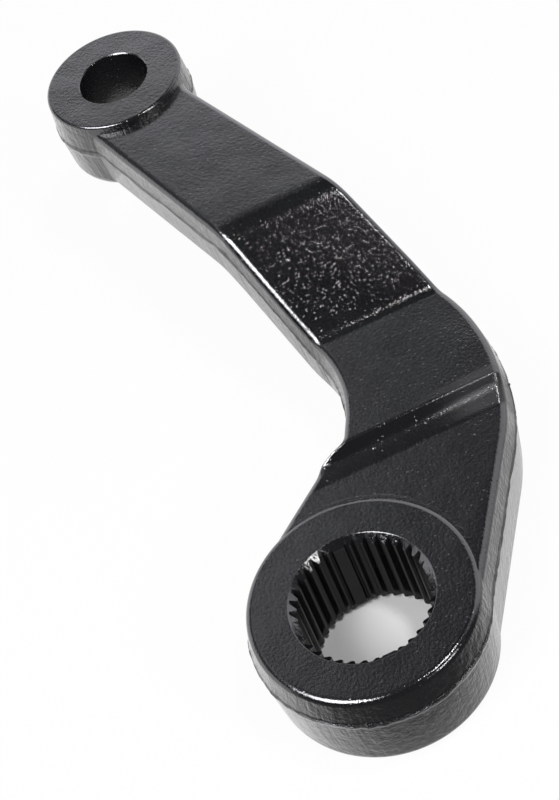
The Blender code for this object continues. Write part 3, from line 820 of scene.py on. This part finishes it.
# %% Enamel: all heights together
# Each height is in millimetres, and what is pressed in is negative.
slope_pimples = add_node(paint, "ShaderNodeMath", [(0, slope_mask), (1, 0.06), (2, 0.005)],
                         operation="MULTIPLY_ADD").outputs[0]
rough_wall = add_node(paint, "ShaderNodeMath", [(0, wall_mask), (1, 0.27)],
                      operation="MULTIPLY").outputs[0]
marked_wall = add_node(paint, "ShaderNodeMath", [(0, wall_mask), (1, 0.17)],
                       operation="MULTIPLY").outputs[0]
torn_flash = add_node(paint, "ShaderNodeMath", [(0, flash_mask), (1, 0.5)],
                      operation="MULTIPLY").outputs[0]
height = add_node(paint, "ShaderNodeMath", [(0, peel), (1, 0.06)], operation="MULTIPLY").outputs[0]
for part, millimetres in ((pimple, slope_pimples), (dust, 0.12), (pit, -0.05), (wave, 0.18),
                          (flaked, rough_wall), (die_mark, marked_wall), (torn, torn_flash),
                          (ridge_mask, 0.06)):
    height = add_node(paint, "ShaderNodeMath", [(0, part), (1, millimetres), (2, height)],
                      operation="MULTIPLY_ADD").outputs[0]
bump = add_node(paint, "ShaderNodeBump", [("Height", height), ("Strength", 1.0),
                                          ("Distance", MM)]).outputs["Normal"]
paint.links.new(bump, shader.inputs["Normal"])
paint.links.new(bump, shader.inputs["Coat Normal"])
print(len(paint.nodes), "nodes in the paint")

# %% [markdown]
# The arm was photographed on a white board in a white studio. The board is a plane just under
# the big eye. A curved backdrop would look the same from here and would hide the view from below.

# %% Floor
FLOOR_Z = (-BIG_EYE_HEIGHT - 0.2) * MM
FLOOR_HALF_WIDTH = 3.0

grid = bmesh.new()
bmesh.ops.create_grid(grid, x_segments=1, y_segments=1, size=FLOOR_HALF_WIDTH)
floor = bpy.data.objects.new("floor", bpy.data.meshes.new("floor"))
grid.to_mesh(floor.data)
grid.free()
floor.location.z = FLOOR_Z
bpy.context.scene.collection.objects.link(floor)
print("floor at", round(FLOOR_Z / MM, 1), "mm")

# %% [markdown]
# The board is white to the camera without more light on the arm: away from the bore it glows
# for camera rays, and a small share stays plain so that the shadow shows. Seen through the bore
# it is plain board in shade. Glossy rays see it glow too, as painted light: dimmer in front,
# as painted shade where the real board lay in the shade of the camera, dimmer near the bore's
# axis as painted shade under the big eye, and brighter on the left as painted light.

# %% Board: where it glows
PLAIN_RADIUS, GLOW_RADIUS = 18 * MM, 21 * MM

board = bpy.data.materials.new("white_card_board")
board.use_nodes = True
card = board.node_tree
card.nodes.clear()
ray = add_node(card, "ShaderNodeLightPath")
geometry = add_node(card, "ShaderNodeNewGeometry")
position = geometry.outputs["Position"]
from_bore = add_node(card, "ShaderNodeVectorMath", [(0, position), (1, (0, 0, FLOOR_Z))],
                     operation="DISTANCE").outputs["Value"]
white_beyond = add_node(card, "ShaderNodeMapRange",
                        [(0, from_bore), (1, PLAIN_RADIUS), (2, GLOW_RADIUS), (3, 0.0),
                         (4, 0.95)]).outputs[0]
# Glossy rays see the glow dimmed near the bore's axis: painted shade under the big eye.
painted_shade_near_bore = add_node(card, "ShaderNodeMapRange",
                      [(0, from_bore), (1, PLAIN_RADIUS), (2, GLOW_RADIUS), (3, 0.2),
                       (4, 0.75)]).outputs[0]
seen = add_node(card, "ShaderNodeMath", [(0, ray.outputs["Is Camera Ray"]), (1, white_beyond)],
                operation="MULTIPLY").outputs[0]
sharp_ray = add_node(card, "ShaderNodeMath", [(0, ray.outputs["Is Glossy Ray"]),
                                              (1, ray.outputs["Is Transmission Ray"])],
                     operation="MAXIMUM").outputs[0]
glow_share = add_node(card, "ShaderNodeMath", [(0, sharp_ray), (1, seen)]).outputs[0]
print("the board is plain within", PLAIN_RADIUS / MM, "mm of the bore's axis")

# %% Board: card and glow
x_place, y_place = add_node(card, "ShaderNodeSeparateXYZ", [(0, position)]).outputs[:2]
# On the left the glow is painted brighter, a painted light where the real board was lit past white.
painted_light_on_left = add_node(card, "ShaderNodeMapRange",
                    [(0, y_place), (1, 0.01), (2, 0.05), (3, 1.0), (4, 1.4)]).outputs[0]
# Glossy rays see the glow dimmer in front of the arm: painted shade.
painted_shade_in_front = add_node(card, "ShaderNodeMapRange",
                          [(0, x_place), (1, -0.046), (2, -0.008), (3, 0.10), (4, 1.0)],
                          interpolation_type="SMOOTHSTEP").outputs[0]
mirrored = add_node(card, "ShaderNodeMath", [(0, painted_shade_in_front), (1, painted_shade_near_bore)],
                    operation="MULTIPLY").outputs[0]
mirrored = add_node(card, "ShaderNodeMath", [(0, mirrored), (1, painted_light_on_left)],
                    operation="MULTIPLY").outputs[0]
strength = add_node(card, "ShaderNodeMix",
                    [(0, ray.outputs["Is Camera Ray"]), (2, mirrored), (3, 1.0)]).outputs[0]
matt = add_node(card, "ShaderNodeBsdfDiffuse", [("Color", linear("#f2f2f2"))]).outputs[0]
glow = add_node(card, "ShaderNodeEmission", [("Color", linear("#ffffff")),
                                             ("Strength", strength)]).outputs[0]
face = add_node(card, "ShaderNodeMixShader", [(0, glow_share), (1, matt), (2, glow)]).outputs[0]
clear = add_node(card, "ShaderNodeBsdfTransparent").outputs[0]
# From below the board is left out, so that the underside of the arm can be looked at.
one_sided = add_node(card, "ShaderNodeMixShader", [(0, geometry.outputs["Backfacing"]), (1, face),
                                                   (2, clear)]).outputs[0]
add_node(card, "ShaderNodeOutputMaterial", [("Surface", one_sided)])
floor.data.materials.append(board)
print("board:", board.name)

# %% [markdown]
# A black gloss shows what is round it more than its own colour, so the room is what models its
# faces: bright walls low down, a bright panel ahead on the left, a dim ceiling, a window on the
# left, and darkness behind the camera. Only glossy rays see that. Plain surfaces get an even, low
# room light. A photographed room would do too, but every wall here can be moved by itself.

# %% Room: bright walls and ceiling
ROOM_LEVEL = 0.13

world = bpy.data.worlds.new("studio")
bpy.context.scene.world = world
world.use_nodes = True
room = world.node_tree
room.nodes.clear()
way = add_node(room, "ShaderNodeTexCoord").outputs["Generated"]
x_way, y_way, z_way = add_node(room, "ShaderNodeSeparateXYZ", [(0, way)]).outputs
tilted_z = add_node(room, "ShaderNodeMath", [(0, y_way), (1, 0.35), (2, z_way)],
                    operation="MULTIPLY_ADD").outputs[0]
low_walls = add_node(room, "ShaderNodeMapRange",
                     [(0, tilted_z), (1, 0.615), (2, 0.650), (3, 1.35), (4, 0.17)],
                     interpolation_type="SMOOTHSTEP").outputs[0]
left_of_middle = add_node(room, "ShaderNodeMapRange", [(0, y_way), (1, -0.065), (2, 0.01)],
                          interpolation_type="SMOOTHSTEP").outputs[0]
above_dark = add_node(room, "ShaderNodeMapRange", [(0, z_way), (1, 0.74), (2, 0.785)],
                      interpolation_type="SMOOTHSTEP").outputs[0]
panel = add_node(room, "ShaderNodeMath", [(0, left_of_middle), (1, above_dark)],
                 operation="MULTIPLY").outputs[0]
walls = add_node(room, "ShaderNodeMath", [(0, panel), (1, 1.2), (2, low_walls)],
                 operation="MULTIPLY_ADD").outputs[0]
ceiling = add_node(room, "ShaderNodeMapRange",
                   [(0, z_way), (1, 0.80), (2, 0.840), (3, 1.0), (4, 0.12)],
                   interpolation_type="SMOOTHSTEP").outputs[0]
ahead = add_node(room, "ShaderNodeMapRange",
                 [(0, x_way), (1, -0.25), (2, 0.1), (3, 0.03), (4, 1.0)],
                 interpolation_type="SMOOTHSTEP").outputs[0]
under_ceiling = add_node(room, "ShaderNodeMath", [(0, walls), (1, ceiling)],
                         operation="MULTIPLY").outputs[0]
walls_ahead = add_node(room, "ShaderNodeMath", [(0, under_ceiling), (1, ahead)],
                       operation="MULTIPLY").outputs[0]
print("room light", ROOM_LEVEL)

# %% Room: window
WINDOW_AZIMUTH, WINDOW_ELEVATION, WINDOW_STRENGTH = 110, 50, 14.0


def direction(azimuth, elevation):
    """Return the unit vector towards this azimuth and elevation, in degrees."""
    turn, rise = math.radians(azimuth), math.radians(elevation)
    return Vector((math.cos(turn) * math.cos(rise), math.sin(turn) * math.cos(rise),
                   math.sin(rise)))


# It shines in the front edge of the small eye and in the left edge of the slope.
to_window = add_node(room, "ShaderNodeVectorMath",
                     [(0, way), (1, direction(WINDOW_AZIMUTH, WINDOW_ELEVATION))],
                     operation="DOT_PRODUCT").outputs["Value"]
window = add_node(room, "ShaderNodeMapRange", [(0, to_window), (1, 0.955), (2, 0.965)]).outputs[0]
mirrored_room = add_node(room, "ShaderNodeMath",
                         [(0, window), (1, WINDOW_STRENGTH), (2, walls_ahead)],
                         operation="MULTIPLY_ADD").outputs[0]
print("the window spans", round(2 * math.degrees(math.acos(0.96))), "degrees")

# %% Room: which ray sees what
ray = add_node(room, "ShaderNodeLightPath").outputs
sharp_ray = add_node(room, "ShaderNodeMath", [(0, ray["Is Glossy Ray"]),
                                              (1, ray["Is Transmission Ray"])],
                     operation="MAXIMUM").outputs[0]
lit = add_node(room, "ShaderNodeMapRange", [(0, sharp_ray), (3, ROOM_LEVEL),
                                            (4, mirrored_room)]).outputs[0]
strength = add_node(room, "ShaderNodeMath", [(0, ray["Is Camera Ray"]), (1, lit)],
                    operation="MAXIMUM").outputs[0]
# The glossy rays see white walls in cool light.
wall_colour = add_node(room, "ShaderNodeMix", [(0, sharp_ray), (6, linear("#ffffff")),
                                               (7, linear("#f8f9ff"))], data_type="RGBA").outputs[2]
sky = add_node(room, "ShaderNodeBackground", [("Color", wall_colour), ("Strength", strength)])
add_node(room, "ShaderNodeOutputWorld", [("Surface", sky.outputs[0])])
print(len(room.nodes), "nodes in the room")

# %% [markdown]
# Small bright softboxes give the broken glints along the rims and the sparks on the slope. Their
# places follow from which edges shine. Their power is set so that, with the room light, a plain
# surface is lit at a level of about one.

# %% Softboxes
LAMP_DISTANCE = 1.0
ARM_MIDDLE = Vector((0.05, -0.01, 0.0))


def add_softbox(name, azimuth, elevation, width, height, radiance):
    """Hang a softbox in this direction from the arm, and return its light on a plain floor."""
    lamp = bpy.data.lights.new(name, "AREA")
    lamp.shape = "RECTANGLE"
    lamp.size = width
    lamp.size_y = height
    lamp.energy = radiance * math.pi * width * height
    thing = bpy.data.objects.new(name, lamp)
    towards = direction(azimuth, elevation)
    thing.location = ARM_MIDDLE + towards * LAMP_DISTANCE
    thing.rotation_mode = "QUATERNION"
    thing.rotation_quaternion = towards.to_track_quat("Z", "Y")
    bpy.context.scene.collection.objects.link(thing)
    return radiance * width * height * towards.z / math.pi


level = ROOM_LEVEL
level += add_softbox("left_softbox", 130, 55, 0.32, 0.38, 15)
level += add_softbox("high_right_softbox", -122, 70, 0.12, 0.12, 68)
level += add_softbox("low_right_softbox", -143, 34, 0.2, 0.2, 18)
print("light on a plain floor:", round(level, 2))

# %% [markdown]
# The view transform stays plain, so that a colour comes out as it was written.

# %% Output
bpy.context.scene.view_settings.view_transform = "Standard"
